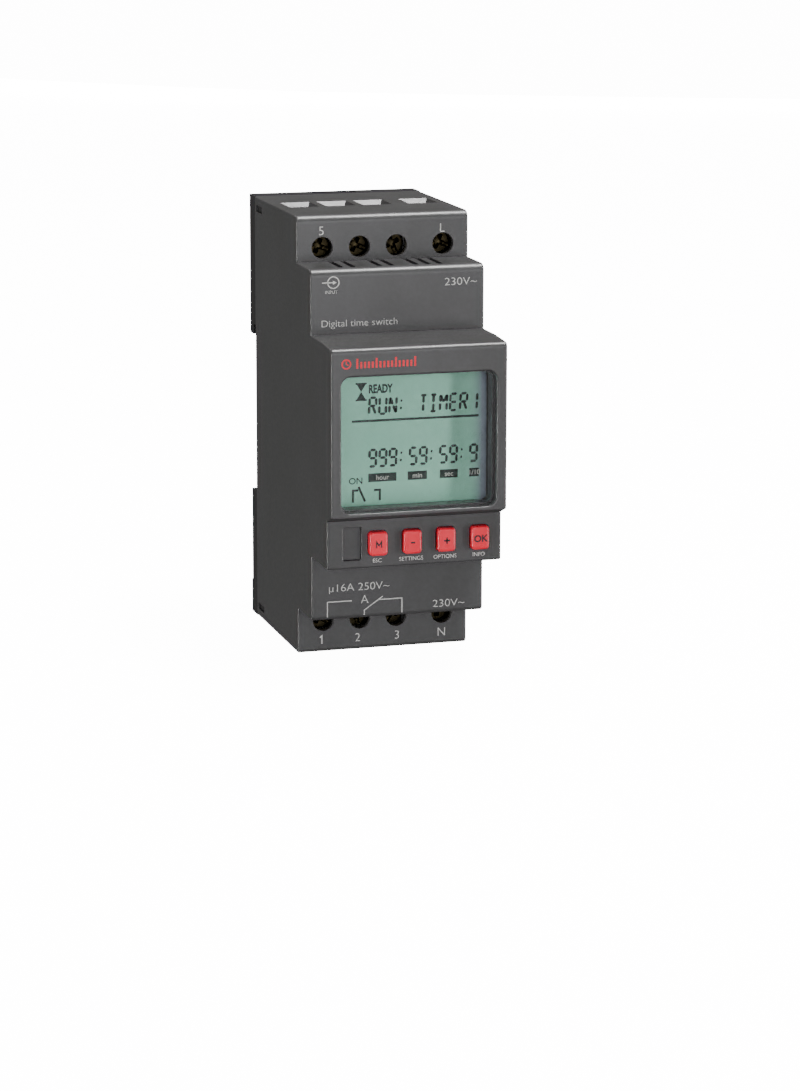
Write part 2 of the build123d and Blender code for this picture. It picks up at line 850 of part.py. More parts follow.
for side, row_name in ((1, "upper"), (-1, "lower")):
    with BuildPart() as terminal_carrier:
        block(
            around(0, 2 * (inner_half - fit)),
            (carrier_back, carrier_front),
            sided(side, carrier_inner, half_height - wall - fit),
        )
        for x in terminal_x:
            block(
                around(x, pocket_width),
                (cage_back - fit, carrier_front + 1),
                around(side * terminal_z, pocket_height),
                Mode.SUBTRACT,
            )
            block(
                around(x, throat_width),
                around(wire_ahead, throat_depth),
                sided(side, carrier_inner + 0.9, half_height),
                Mode.SUBTRACT,
            )
            block(
                around(x, bar_width + 2 * slip),
                (bar_back - slip, bar_front + slip),
                sided(side, carrier_inner - 1, terminal_z),
                Mode.SUBTRACT,
            )
    write(terminal_carrier, f"{row_name}_terminal_carrier")

    with BuildPart() as contact_bars:
        for x in terminal_x:
            block(
                around(x, bar_width),
                (bar_back, bar_front),
                sided(side, bar_root, terminal_z + 2.6),
            )
            block(
                around(x, bar_width),
                (power_back - 0.8, bar_front),
                sided(side, bar_root, bar_root + bar_thickness),
            )
    write(contact_bars, f"{row_name}_contact_bars")

    for x, name in zip(terminal_x, terminal_names[side]):
        screw_z = side * terminal_z
        with BuildPart() as clamp_cage:
            block(
                around(x, cage_width),
                (cage_back, cage_open_front),
                around(screw_z, cage_height),
            )
            fillet(clamp_cage.edges().filter_by(Axis.Z), 0.6)
            block(
                around(x, cage_width - 2 * cage_side),
                (cage_back + cage_end, cage_open_front - cage_front),
                around(screw_z, cage_height + 2),
                Mode.SUBTRACT,
            )
            rod(
                x,
                screw_z,
                (cage_open_front - cage_front - 0.5, cage_open_front + 0.5),
                shank_radius + thread_gap,
                Mode.SUBTRACT,
            )
        write(clamp_cage, f"clamp_cage_{name}")

        with BuildPart() as clamp_screw:
            rod(x, screw_z, (head_back, head_front), head_radius)
            chamfer(clamp_screw.edges().filter_by(GeomType.CIRCLE).sort_by(Axis.Y)[0], 0.3)
            rod(x, screw_z, (screw_tip, head_back), shank_radius)
            chamfer(clamp_screw.edges().filter_by(GeomType.CIRCLE).sort_by(Axis.Y)[-1], 0.3)
            cross = (head_front - 1.3, head_front + 1)
            block(around(x, 2 * head_radius + 1), cross, around(screw_z, 0.8), Mode.SUBTRACT)
            block(around(x, 0.8), cross, around(screw_z, 3.2), Mode.SUBTRACT)
        write(clamp_screw, f"clamp_screw_{name}")
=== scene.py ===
import json
from math import cos, pi, radians, sin

import bpy
import numpy as np
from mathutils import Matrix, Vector


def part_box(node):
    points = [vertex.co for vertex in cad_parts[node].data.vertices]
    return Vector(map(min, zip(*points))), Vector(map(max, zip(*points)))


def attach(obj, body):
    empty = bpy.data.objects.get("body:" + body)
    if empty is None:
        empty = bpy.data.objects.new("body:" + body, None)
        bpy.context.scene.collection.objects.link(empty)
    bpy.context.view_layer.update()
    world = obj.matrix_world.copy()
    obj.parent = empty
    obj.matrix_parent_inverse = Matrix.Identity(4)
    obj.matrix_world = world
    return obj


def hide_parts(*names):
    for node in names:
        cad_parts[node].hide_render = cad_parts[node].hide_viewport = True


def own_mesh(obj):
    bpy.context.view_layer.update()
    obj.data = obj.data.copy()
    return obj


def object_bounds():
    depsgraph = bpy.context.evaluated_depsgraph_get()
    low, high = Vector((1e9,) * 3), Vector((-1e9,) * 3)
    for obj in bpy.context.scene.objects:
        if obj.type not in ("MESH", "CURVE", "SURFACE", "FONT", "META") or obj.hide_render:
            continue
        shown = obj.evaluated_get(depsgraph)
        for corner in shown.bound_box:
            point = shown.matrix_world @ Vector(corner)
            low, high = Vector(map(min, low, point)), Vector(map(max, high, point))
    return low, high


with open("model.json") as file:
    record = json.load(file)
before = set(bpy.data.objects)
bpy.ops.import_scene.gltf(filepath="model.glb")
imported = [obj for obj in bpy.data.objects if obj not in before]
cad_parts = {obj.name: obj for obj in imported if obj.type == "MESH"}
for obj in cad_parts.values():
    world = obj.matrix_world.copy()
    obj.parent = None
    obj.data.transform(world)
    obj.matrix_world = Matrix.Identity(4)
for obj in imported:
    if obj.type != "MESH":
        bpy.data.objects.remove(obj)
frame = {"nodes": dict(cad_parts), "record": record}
cad_low, cad_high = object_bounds()
nodes = frame["nodes"]
joints = {joint["name"]: joint for joint in frame["record"]["behaviour"]["joints"]}

MM = 0.001


# ------------------------------------------------------------------ housing shells
# Two shells moulded in dark grey filled polyamide: the rear base with its rail hook, a shade
# darker, and the front housing that snaps over it, with its port cover. The mould was spark
# eroded, so the walls have a fine even grain, and flow in it leaves slow changes of tone.


class Socket:
    """One socket of a material's nodes. Sums and products of sockets add Math nodes to it."""

    def __init__(self, tree, source=None):
        self.tree = tree
        self.source = source

    def node(self, kind, settings, inputs, out=0):
        """Adds a node, gives it its settings first and then its sockets, and wraps one output."""
        made = self.tree.nodes.new("ShaderNode" + kind)
        for name, value in settings.items():
            setattr(made, name, value)
        for name, value in inputs.items():
            if isinstance(value, Socket):
                self.tree.links.new(value.source, made.inputs[name])
            else:
                made.inputs[name].default_value = value
        return Socket(self.tree, made.outputs[out])

    def math(self, operation, *terms):
        """One Math node on the terms, which are sockets or numbers."""
        return self.node("Math", {"operation": operation}, dict(enumerate(terms)))

    def __add__(self, other):
        return self.math("ADD", self, other)

    def __mul__(self, other):
        return self.math("MULTIPLY", self, other)

    def __sub__(self, other):
        return self.math("SUBTRACT", self, other)

    def __rsub__(self, other):
        return self.math("SUBTRACT", other, self)

    def __gt__(self, other):
        return self.math("GREATER_THAN", self, other)

    def __lt__(self, other):
        return self.math("LESS_THAN", self, other)

    __radd__ = __add__
    __rmul__ = __mul__

    def ramp(self, low, high):
        """0 where the value is at or under low, 1 at or over high, and straight between."""
        settings = {"clamp": True}
        return self.node("MapRange", settings, {"Value": self, "From Min": low, "From Max": high})

    def place(self):
        """The point's place in metres, in the object's own coordinates."""
        return self.node("TexCoord", {}, {}, out="Object")

    def axes(self):
        """The three coordinates of the point, in metres."""
        place = self.place()
        return [self.node("SeparateXYZ", {}, {"Vector": place}, out=name) for name in "XYZ"]

    def noise(self, size, detail=2.0, stretch=(1, 1, 1)):
        """Cloudy noise from 0 to 1 whose blotches are about size across, in metres."""
        place = self.node("Mapping", {}, {"Vector": self.place(), "Scale": stretch})
        inputs = {"Vector": place, "Scale": 1 / size, "Detail": detail}
        return self.node("TexNoise", {}, inputs)

    def mix(self, share, first, second):
        """Colour first where share is 0 and second where it is 1."""
        return self.node("Mix", {"data_type": "RGBA"}, {0: share, 6: first, 7: second}, out=2)

    def bump(self, height, depth):
        """A normal for a surface whose height, from 0 to 1, stands for depth metres."""
        return self.node("Bump", {}, {"Height": height, "Distance": depth, "Strength": 1.0})


def start(name):
    """A new material and the empty socket that its nodes are made from."""
    material = bpy.data.materials.new(name)
    material.use_nodes = True
    material.node_tree.nodes.clear()
    return material, Socket(material.node_tree)


def finish(material, blank, colour, roughness, **more):
    """Ends a material with one Principled shader; more holds its other sockets by name."""
    inputs = {"Base Color": colour, "Roughness": roughness}
    inputs.update({name.replace("_", " "): value for name, value in more.items()})
    shader = blank.node("BsdfPrincipled", {}, inputs)
    output = material.node_tree.nodes.new("ShaderNodeOutputMaterial")
    material.node_tree.links.new(shader.source, output.inputs["Surface"])
    return material


def dress(names, material):
    """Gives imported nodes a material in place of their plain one."""
    for name in names:
        for used in nodes[name].material_slots:
            used.material = material


def tone(red, green, blue):
    """A colour from its display values, 0 to 255, as the linear values that shaders use."""
    shown = np.array((red, green, blue)) / 255
    linear = np.where(shown <= 0.04045, shown / 12.92, ((shown + 0.055) / 1.055) ** 2.4)
    return (*linear.tolist(), 1.0)


def moulded(name, light, dark, roughness, grain=0.22 * MM, depth=0.012 * MM, **more):
    """Moulded plastic: a fine eroded grain, slow changes of tone and a little uneven gloss."""
    material, blank = start(name)
    flow = blank.noise(9 * MM, 3.0, (1, 1, 0.45))
    fine = blank.noise(grain, 3.0)
    speckle = blank.noise(grain * 2.6, 2.0)
    colour = blank.mix(flow.ramp(0.35, 0.65) * 0.7 + speckle.ramp(0.4, 0.7) * 0.3, dark, light)
    gloss = roughness + (flow - 0.5) * 0.1 + (speckle - 0.5) * 0.12
    surface = blank.bump(fine * 0.6 + speckle * 0.4, depth)
    return finish(material, blank, colour, gloss, Normal=surface, **more)


housing_plastic = moulded(
    "housing_polyamide", tone(65, 65, 66), tone(59, 59, 59), 0.33, depth=0.008 * MM, IOR=1.5
)
dress(["front_housing", "port_cover"], housing_plastic)
base_plastic = moulded("base_polyamide", tone(38, 38, 39), tone(33, 33, 34), 0.45, IOR=1.5)
dress(["rear_base"], base_plastic)


# ------------------------------------------------------------------ rail latch and its spring
# A slider of black acetal in a T-shaped channel, which snaps behind the rail's lower flange.
# A small coil of spring wire stands on a post in the channel and pushes the latch up; it is
# wound here as a tube along a helix.

latch_plastic = moulded(
    "latch_acetal", tone(42, 42, 44), tone(36, 36, 38), 0.34, grain=0.5 * MM, depth=0.004 * MM
)
dress(["rail_latch"], latch_plastic)


def mesh_piece(name, points, faces, material, smooth=True):
    """A new object with its mesh in place, from an array of points and lists of corners."""
    mesh = bpy.data.meshes.new(name)
    mesh.from_pydata(np.asarray(points, float), [], [list(map(int, face)) for face in faces])
    mesh.materials.append(material)
    mesh.polygons.foreach_set("use_smooth", np.full(len(mesh.polygons), smooth))
    mesh.update()
    piece = bpy.data.objects.new(name, mesh)
    bpy.context.collection.objects.link(piece)
    return piece


def grid_faces(rows, columns):
    """Four-cornered faces of a grid of points whose last column joins the first."""
    row, column = np.meshgrid(np.arange(rows - 1), np.arange(columns), indexing="ij")
    after = (column + 1) % columns
    corners = (row * columns + column, row * columns + after)
    corners += ((row + 1) * columns + after, (row + 1) * columns + column)
    return np.stack([c.ravel() for c in corners], axis=1)


def closed_tube(line, radius, sides):
    """Points and faces of a round tube along a line of points, closed by a face at each end.

    At each point the tube's circle lies in the plane square to the line's direction there:
    point + radius * (cos a * side + sin a * rise), for angles a round the whole circle.
    """
    along = np.gradient(line, axis=0)
    along /= np.linalg.norm(along, axis=1, keepdims=True)
    side = np.cross(along, (0, 0, 1.0))
    side /= np.linalg.norm(side, axis=1, keepdims=True)
    rise = np.cross(along, side)
    angle = np.linspace(0, 2 * pi, sides, endpoint=False)[None, :, None]
    circle = np.cos(angle) * side[:, None] + np.sin(angle) * rise[:, None]
    points = (line[:, None] + radius * circle).reshape(-1, 3)
    faces = grid_faces(len(line), sides).tolist()
    last = len(points) - sides
    faces += [list(range(sides))[::-1], list(range(last, last + sides))]
    return points, faces


def metal(name, bright, dull, roughness):
    """Plated or drawn metal: faint clouds of tarnish, fine scratches and uneven gloss."""
    material, blank = start(name)
    cloud = blank.noise(1.6 * MM, 4.0)
    scratch = blank.noise(0.12 * MM, 2.0, (1, 1, 0.08))
    colour = blank.mix(cloud.ramp(0.35, 0.75), bright, dull)
    gloss = roughness + (cloud - 0.5) * 0.16 + (scratch - 0.5) * 0.1
    surface = blank.bump(scratch, 0.003 * MM)
    return finish(material, blank, colour, gloss, Metallic=1.0, Normal=surface)


spring_low, spring_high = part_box("latch_spring")
wire = 0.175 * MM
coil_radius = (spring_high.x - spring_low.x) / 2 - wire
coil_middle = (spring_low + spring_high) / 2
turns = 6.5
closed = 0.8  # turns at each end whose coils lie against each other
turn = np.linspace(0, 2 * pi * turns, 400)
wound = turn / (2 * pi)
rise = np.clip((wound - closed) / (turns - 2 * closed), 0, 1)
seat = 2 * wire * np.clip(wound, 0, closed)
seat += 2 * wire * (np.clip(wound, turns - closed, turns) - (turns - closed))
spring_length = spring_high.z - spring_low.z
free = spring_length - 2 * wire - seat[-1]
coil_line = np.stack(
    (
        coil_middle.x + coil_radius * np.cos(turn),
        coil_middle.y + coil_radius * np.sin(turn),
        spring_low.z + wire + seat + free * rise,
    ),
    axis=1,
)
spring_wire = metal("spring_wire", tone(190, 190, 188), tone(150, 150, 150), 0.28)
coil_points, coil_faces = closed_tube(coil_line, wire, sides=12)
coil_spring = mesh_piece("latch_coil_spring", coil_points, coil_faces, spring_wire)
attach(coil_spring, "root")
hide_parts("latch_spring")
latch_travel = joints["latch_slide"]["range_m"][1]
(spring_length - latch_travel) / spring_length
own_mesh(coil_spring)


# ------------------------------------------------------------------ circuit boards
# Two boards of glass laminate under green solder mask: one behind the keys and the display, and
# one across the back that carries the mains parts. Copper tracks show as paler lines.


def board_mask(name):
    """Solder mask over copper: fine lines on a square lattice, broken up by larger patches."""
    material, blank = start(name)
    x, _, z = blank.axes()
    pitch = 1.27 * MM
    half_track = 0.2 * MM
    upright = blank.math("PINGPONG", x, pitch / 2) < half_track
    level = blank.math("PINGPONG", z + 0.3 * MM, pitch / 2) < half_track
    region = blank.noise(5 * MM, 1.0)
    lines = upright * (region > 0.5) + level * (region < 0.46)
    copper = lines.ramp(0, 1)
    weave = blank.noise(0.3 * MM, 2.0)
    colour = blank.mix(copper, tone(18, 84, 48), tone(46, 118, 66))
    surface = blank.bump(copper * 0.8 + weave * 0.2, 0.03 * MM)
    return finish(material, blank, colour, 0.3 + (weave - 0.5) * 0.1, Normal=surface)


dress(["display_board", "power_board"], board_mask("solder_mask"))

brass = metal("tinned_brass", tone(205, 180, 120), tone(160, 135, 85), 0.33)
dress(["board_link_pins", "upper_contact_bars", "lower_contact_bars"], brass)
black_plastic = moulded("black_moulding", tone(40, 40, 41), tone(33, 33, 34), 0.45)
dress(["board_link_spacers", "microcontroller", "key_switch_bodies", "relay_base"], black_plastic)

steel = metal("nickel_plate", tone(200, 198, 192), tone(160, 158, 152), 0.25)
dress(["quartz_crystal", "backup_cell", "cell_clips"], steel)


# ------------------------------------------------------------------ parts on the power board
# The mains parts: a boxed film capacitor, a can capacitor in a shrunk sleeve, a lacquered disc
# varistor, a fusible resistor with its ceramic coat, and four diodes moulded in black epoxy.


def lacquer(name, light, dark, roughness):
    """Dipped lacquer or shrink sleeve: glossy, with soft sags and small specks."""
    material, blank = start(name)
    drape = blank.noise(2.2 * MM, 2.0)
    speck = blank.noise(0.3 * MM, 1.0)
    colour = blank.mix(drape.ramp(0.3, 0.7), dark, light)
    surface = blank.bump(drape * 0.8 + speck * 0.2, 0.03 * MM)
    return finish(material, blank, colour, roughness + (speck - 0.5) * 0.12, Normal=surface)


dress(["mains_capacitor"], moulded("capacitor_box", tone(190, 160, 62), tone(176, 146, 52), 0.4))
dress(["smoothing_capacitor"], lacquer("capacitor_sleeve", tone(28, 34, 60), tone(20, 24, 46), 0.3))
dress(["varistor"], lacquer("varistor_lacquer", tone(40, 84, 150), tone(30, 68, 130), 0.28))
dress(["fuse_resistor"], lacquer("resistor_coat", tone(120, 150, 140), tone(96, 128, 118), 0.6))
dress(["rectifier_diodes"], moulded("diode_epoxy", tone(34, 34, 35), tone(26, 26, 27), 0.5))


# ------------------------------------------------------------------ relay
# A boxed changeover relay: a blue cover over a coil of enamelled wire on an iron core, with an
# armature that tilts against the core and moves a sprung contact between two fixed ones.


def winding(name):
    """Fine enamelled wire wound close: one ridge for each turn, along the coil's axis."""
    material, blank = start(name)
    x = blank.axes()[0]
    wire_pitch = 0.12 * MM
    ridge = blank.math("PINGPONG", x, wire_pitch / 2).ramp(0, wire_pitch / 2)
    layer = blank.noise(1.2 * MM, 2.0, (4, 1, 1))
    # the colour darkens into the grooves between turns and lightens on each crest: painted shade
    # and painted highlight across the wire
    colour = blank.mix(ridge * 0.6 + layer * 0.4, tone(96, 44, 18), tone(186, 104, 48))
    surface = blank.bump(ridge, wire_pitch / 3)
    return finish(material, blank, colour, 0.28 + layer * 0.1, Normal=surface)


dress(["relay_cover"], moulded("relay_cover", tone(36, 58, 104), tone(30, 48, 92), 0.36))
dress(["relay_coil"], winding("coil_winding"))
iron = metal("relay_iron", tone(172, 170, 166), tone(132, 130, 126), 0.38)
dress(["relay_yoke", "relay_armature"], iron)
contact_alloy = metal("contact_alloy", tone(214, 196, 170), tone(184, 150, 118), 0.3)
dress(["relay_moving_contact", "relay_fixed_contacts"], contact_alloy)


# ------------------------------------------------------------------ terminals
# Each terminal is a screw that turns in the housing, a steel cage that the thread lifts, and a
# brass bar that the wire is pressed against, in a grey insulating block. The screws are turned
# and rolled steel with yellow zinc plate: a cross recess in the head and a rolled thread.

carrier_plastic = moulded("carrier_polyamide", tone(74, 74, 75), tone(66, 66, 67), 0.5)
dress(["upper_terminal_carrier", "lower_terminal_carrier"], carrier_plastic)
cage_zinc = metal("cage_zinc", tone(190, 190, 184), tone(148, 148, 142), 0.34)
dress([name for name in nodes if name.startswith("clamp_cage_")], cage_zinc)
# the screws' zinc is made far darker than real plate: painted shade of the deep holes they sit in
screw_zinc = metal("screw_zinc", tone(56, 50, 34), tone(34, 30, 19), 0.38)

head_height = 2.0 * MM
shank_radius = 1.75 * MM
thread_pitch = 0.6 * MM
thread_depth = 0.26 * MM
recess_depth = 1.25 * MM
recess_reach = 1.55 * MM
half_arm = 0.42 * MM  # half the width of one arm of the cross
half_slot = 0.36 * MM  # half the width of the plain slot across the head
slot_depth = 0.75 * MM


def screw_surface(head_radius, length):
    """Points of a cross-recessed screw about its own axis, as rings from the head's middle.

    A first profile runs out over the head, down its side and under it, and a second one goes
    down the shank to the tip. The head's face sinks by the recess's depth where a point lies
    inside a cross or a slot. The shank's radius rises and falls with the height less one pitch
    for each turn, which winds the thread.
    """
    around = np.linspace(0, 2 * pi, 96, endpoint=False)[None, :]

    def turned(radius, depth):
        """Rings about the screw's axis: (radius * cos a, depth, radius * sin a)."""
        places = (radius * np.cos(around), depth, radius * np.sin(around))
        return np.stack(np.broadcast_arrays(*places), axis=-1)

    face = np.linspace(0.02, 1, 40)[:, None] * (head_radius - 0.25 * MM)
    x, z = face * np.cos(around), face * np.sin(around)

    def inside(value, limit):
        """1 well within the limit, 0 beyond it, with a steep slope of 0.12 mm between."""
        return np.clip((limit - np.abs(value)) / (0.12 * MM) + 0.5, 0, 1)

    taper = 1 - np.clip(face / recess_reach, 0, 1) ** 3
    cross = np.maximum(inside(x, half_arm), inside(z, half_arm))
    cross = cross * inside(face, recess_reach) * (0.35 + 0.65 * taper) * recess_depth
    slot = inside(z, half_slot) * slot_depth
    rings = [turned(face, np.maximum(cross, slot))]

    profile = np.array(
        [
            (head_radius - 0.1 * MM, 0.06 * MM),
            (head_radius, 0.25 * MM),
            (head_radius, head_height - 0.1 * MM),
            (head_radius - 0.1 * MM, head_height),
            (shank_radius + 0.05 * MM, head_height),
        ]
    )
    rings.append(turned(profile[:, :1], profile[:, 1:]))

    steps = 260
    down = np.linspace(head_height, length - 0.02 * MM, steps)[:, None]
    phase = (down / thread_pitch - around / (2 * pi)) % 1.0
    groove = np.clip(1 - np.abs(phase - 0.5) * 3.0, 0, 1)
    run_in = np.clip((down - head_height - 0.5 * MM) / (0.5 * MM), 0, 1)
    point = np.clip((length - down) / (0.5 * MM), 0, 1)
    thread = shank_radius - thread_depth * groove * run_in
    thread = np.minimum(thread, shank_radius - 0.5 * MM * (1 - point))
    rings.append(turned(thread, down))
    return np.concatenate(rings, axis=0)


for name in sorted(n for n in nodes if n.startswith("clamp_screw_")):
    low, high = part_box(name)
    mark = name.removeprefix("clamp_screw_")
    middle = (low + high) / 2
    head_radius = (high.x - low.x) / 2
    rings = screw_surface(head_radius, high.y - low.y)
    angle = 2.399 * (ord(mark) % 11)  # each screw was left at its own angle
    left_at = np.array([[cos(angle), 0, sin(angle)], [0, 1, 0], [-sin(angle), 0, cos(angle)]])
    placed = rings.reshape(-1, 3) @ left_at + np.array((middle.x, low.y, middle.z))
    steps, sides = rings.shape[:2]
    faces = grid_faces(steps, sides)[:, ::-1].tolist()
    last = len(placed) - sides
    faces += [list(range(sides)), list(range(last, last + sides))[::-1]]
    screw = mesh_piece(f"terminal_screw_{mark}", placed, faces, screw_zinc)
    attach(screw, f"screw_{mark}")
    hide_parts(name)


# ------------------------------------------------------------------ display
# A reflective liquid crystal display: two sheets of glass with the crystal between them, and a
# satin green reflector behind. The lit segments are dark shapes between the sheets, which throw
# a soft shadow on the reflector. A clear acrylic window in the nose protects it.


def clear(name, tint, see_through, roughness):
    """Clear glass or acrylic as a thin film of gloss: nearly all of what is behind shows."""
    material, blank = start(name)
    smear = blank.noise(6 * MM, 3.0, (1, 1, 0.3))
    alpha = (1 - see_through) + (smear - 0.5) * 0.01
    gloss = roughness + (smear - 0.5) * 0.03
    return finish(material, blank, tint, gloss, Alpha=alpha, IOR=1.49)


dress(["display_window"], clear("clear_acrylic", tone(60, 66, 64), 0.97, 0.05))
dress(["lcd_front_glass"], clear("polariser_glass", tone(50, 64, 58), 0.97, 0.08))

# the grey band near the display's right-hand edge is painted shade and painted reflection of the
# window's right-hand wall
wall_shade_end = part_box("lcd_rear_glass")[1].x - 0.9 * MM
wall_shade_start = wall_shade_end - 3.4 * MM


def crystal(name, see_through):
    """The display's green ground, greying towards its right-hand edge as painted shade and
    reflection of the window's right wall.
    """
    material, blank = start(name)
    shade = blank.axes()[0].ramp(wall_shade_start, wall_shade_end)
    shade = shade * shade
    cloud = blank.noise(7 * MM, 2.0)
    fine = blank.noise(0.12 * MM, 2.0)
    green = blank.mix(cloud.ramp(0.3, 0.7), tone(172, 242, 214), tone(180, 246, 220))
    colour = blank.mix(shade * 0.85, green, tone(150, 148, 172))
    gloss = 0.5 + (fine - 0.5) * 0.1
    more = {"Alpha": 1 - see_through} if see_through else {}
    return finish(material, blank, colour, gloss, Normal=blank.bump(fine, 0.004 * MM), **more)


dress(["lcd_rear_glass"], crystal("crystal_layer", 0.3))
dress(["lcd_reflector"], crystal("satin_reflector", 0.0))
dress(["lcd_holder"], moulded("holder_plastic", tone(120, 122, 120), tone(108, 110, 108), 0.5))
dress(["contact_strips"], moulded("contact_rubber", tone(52, 52, 52), tone(40, 40, 40), 0.7))


def flat_sheet(shapes, plane_y, name, material, thick):
    """Shapes drawn on the front of the device, as one sheet of print or film.

    A shape is an array of (x, z) points and a list of faces, in metres. The sheet starts on the
    plane at plane_y and gains its thickness forwards. A shape's faces are turned over together
    where the sum of x * next z - next x * z, round all of them, comes out negative.
    """
    points, faces, base = [], [], 0
    for outline, corners in shapes:
        outline = np.asarray(outline, float)
        covered = 0.0
        for face in corners:
            x, z = outline[list(face)].T
            covered += (x * np.roll(z, -1) - np.roll(x, -1) * z).sum()
        order = 1 if covered > 0 else -1
        plane = np.full(len(outline), plane_y)
        points.append(np.stack((outline[:, 0], plane, outline[:, 1]), axis=1))
        faces += [[base + corner for corner in face][::order] for face in corners]
        base += len(outline)
    piece = mesh_piece(name, np.concatenate(points), faces, material, smooth=False)
    solid = piece.modifiers.new("thickness", "SOLIDIFY")
    solid.thickness = thick
    solid.offset = 1.0
    return piece


def stroke(points, width):
    """A bent line of even width with square ends and mitred corners, as one strip of faces.

    At each point the strip's two edges lie half a width to each side, along the line that
    halves the corner, moved out by one over the cosine of half the turn.
    """
    line = np.asarray(points, float)
    along = np.diff(line, axis=0)
    along /= np.linalg.norm(along, axis=1, keepdims=True)
    before = np.vstack((along[:1], along))
    after = np.vstack((along, along[-1:]))
    middle = before + after
    middle /= np.linalg.norm(middle, axis=1, keepdims=True)
    square = np.stack((-middle[:, 1], middle[:, 0]), axis=1)
    reach = width / 2 / np.maximum((middle * before).sum(axis=1, keepdims=True), 0.35)
    points = np.concatenate((line + square * reach, line - square * reach))
    count = len(line)
    faces = [(k, k + 1, count + k + 1, count + k) for k in range(count - 1)]
    return points, faces


def patch(low_x, high_x, low_z, high_z):
    """A plain rectangle."""
    return [(low_x, low_z), (high_x, low_z), (high_x, high_z), (low_x, high_z)], [(0, 1, 2, 3)]


def ring(x, z, outer, inner):
    """A flat ring round a point."""
    steps = 48
    angle = np.linspace(0, 2 * pi, steps, endpoint=False)
    circle = np.stack((np.cos(angle), np.sin(angle)), axis=1)
    points = np.concatenate((circle * outer, circle * inner)) + (x, z)
    faces = [(k, (k + 1) % steps, steps + (k + 1) % steps, steps + k) for k in range(steps)]
    return points, faces


def typeset(text, align, weight):
    """Points and faces of text in a size of one, with every outline moved out by the weight."""
    curve = bpy.data.curves.new("words", "FONT")
    curve.body = text
    curve.align_x = align
    curve.size = 1.0
    curve.resolution_u = 6
    curve.offset = weight
    holder = bpy.data.objects.new("words", curve)
    bpy.context.collection.objects.link(holder)
    bpy.context.view_layer.update()
    drawn = holder.evaluated_get(bpy.context.evaluated_depsgraph_get())
    mesh = bpy.data.meshes.new_from_object(drawn)
    flat = np.empty(len(mesh.vertices) * 3)
    mesh.vertices.foreach_get("co", flat)
    faces = [tuple(face.vertices) for face in mesh.polygons]
    bpy.data.objects.remove(holder)
    bpy.data.meshes.remove(mesh)
    bpy.data.curves.remove(curve)
    return flat.reshape(-1, 3)[:, :2], faces


cap_height = float(np.ptp(typeset("E", "LEFT", 0.0)[0][:, 1]))


def words(text, x, z, cap, align="LEFT", width=None, weight=0.0):
    """Text with its base line at z and capitals cap high, stretched sideways to fill a width.

    The weight is how far each outline is moved outwards, as a share of the text's size.
    """
    flat, faces = typeset(text, align, weight)
    scale = cap / cap_height
    stretch = width / (np.ptp(flat[:, 0]) * scale) if width else 1.0
    return flat * (scale * stretch, scale) + (x, z), faces


# The bars that can darken in one cell of the display. Each is named by a letter, and its two
# ends are places in a cell one wide and two high; a digit needs only the level and upright ones.
BARS = {
    "a": ((0, 2), (1, 2)),
    "b": ((1, 2), (1, 1)),
    "c": ((1, 1), (1, 0)),
    "d": ((0, 0), (1, 0)),
    "e": ((0, 1), (0, 0)),
    "f": ((0, 2), (0, 1)),
    "g": ((0, 1), (1, 1)),
    "h": ((0, 2), (0.5, 1)),
    "i": ((0.5, 2), (0.5, 1)),
    "j": ((1, 2), (0.5, 1)),
    "l": ((0.5, 1), (0.5, 0)),
    "m": ((0.5, 1), (1, 0)),
}
LETTERS = {
    "1": "bc",
    "5": "afgcd",
    "9": "abcdfg",
    "T": "ail",
    "I": "aild",
    "M": "efhjbc",
    "E": "adefg",
    "R": "abefgm",
    "U": "bcdef",
    "N": "efhmbc",
}
segment_width = 0.5 * MM
segment_gap = 0.09 * MM
segment_slant = 0.05


def letter(mark, left, low, width, height):
    """The bars of one letter or digit: each is a thin lozenge that stops short of its corners."""
    shapes = []
    for bar in LETTERS[mark]:
        (x0, z0), (x1, z1) = BARS[bar]
        first = np.array((left + x0 * width, low + z0 * height / 2))
        last = np.array((left + x1 * width, low + z1 * height / 2))
        along = (last - first) / np.linalg.norm(last - first)
        square = np.array((-along[1], along[0])) * segment_width / 2
        first, last = first + along * segment_gap, last - along * segment_gap
        bevel = along * segment_width * 0.45
        corners = np.array(
            (
                first,
                first + bevel - square,
                last - bevel - square,
                last,
                last - bevel + square,
                first + bevel + square,
            )
        )
        corners[:, 0] += (corners[:, 1] - low) * segment_slant
        shapes.append((corners, [(0, 1, 2, 3, 4, 5)]))
    return shapes


def colon(x, low, height):
    """Two short slanting dots."""
    dot = 0.34 * MM
    upper = [(x, low + height * 0.68), (x + 0.12 * MM, low + height * 0.8)]
    lower = [(x - 0.12 * MM, low + height * 0.22), (x + 0.02 * MM, low + height * 0.36)]
    return [stroke(upper, dot), stroke(lower, dot)]


crystal_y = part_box("lcd_front_glass")[1].y
cell_pitch = 2.08 * MM
first_cell = -8.62 * MM
cell_width = 1.36 * MM
cell_height = 3.3 * MM
segments = []
for row_low, text in ((7.85 * MM, "RUN: TIMER1"), (-2.62 * MM, "999:59:59:9")):
    for place, mark in enumerate(text):
        left = first_cell + place * cell_pitch
        if mark == ":":
            segments += colon(left + 0.35 * MM, row_low, cell_height)
        elif mark != " ":
            segments += letter(mark, left, row_low, cell_width, cell_height)

# the line under the upper row
segments.append(patch(-12.1 * MM, 14.0 * MM, 6.32 * MM, 6.78 * MM))

